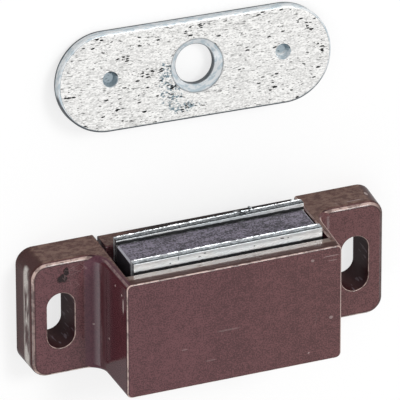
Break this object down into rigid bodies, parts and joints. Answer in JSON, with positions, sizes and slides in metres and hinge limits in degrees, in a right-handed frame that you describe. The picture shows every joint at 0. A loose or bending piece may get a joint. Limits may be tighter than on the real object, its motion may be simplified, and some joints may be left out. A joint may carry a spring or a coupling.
{
  "type": "magnetic catch",
  "caption": "Cupboard door catch: slotted brown housing, a magnet held between steel pole plates at its mouth, and a loose strike plate with a countersunk hole.",
  "frame": {"origin": "centre of the catch's flat mounting face, in the middle of the two screw slots' line along X, at half the housing's height", "axes": "+X along the two ears, +Y out of the magnet's mouth towards the strike plate, +Z away from the mounting surface"},
  "size_m": [0.058, 0.0544, 0.0168],
  "materials": {
    "brown_moulding": "glossy moulded brown plastic",
    "ferrite": "ground ferrite, dull grey",
    "pole_steel": "zinc plated, rolled grain",
    "zinc_plate": "bright zinc plated, fine rolled grain"
  },
  "bodies": {
    "housing": {"housing": "brown_moulding", "back_cover": "brown_moulding", "strike_plate": "zinc_plate"},
    "magnet_pack": {"magnet": "ferrite", "front_pole_plate": "pole_steel", "rear_pole_plate": "pole_steel"}
  },
  "joints": [
    {"name": "pack_float", "type": "slide", "parent": "housing", "child": "magnet_pack", "axis": [0, 1, 0], "range_m": [-0.001, 0]}
  ]
}
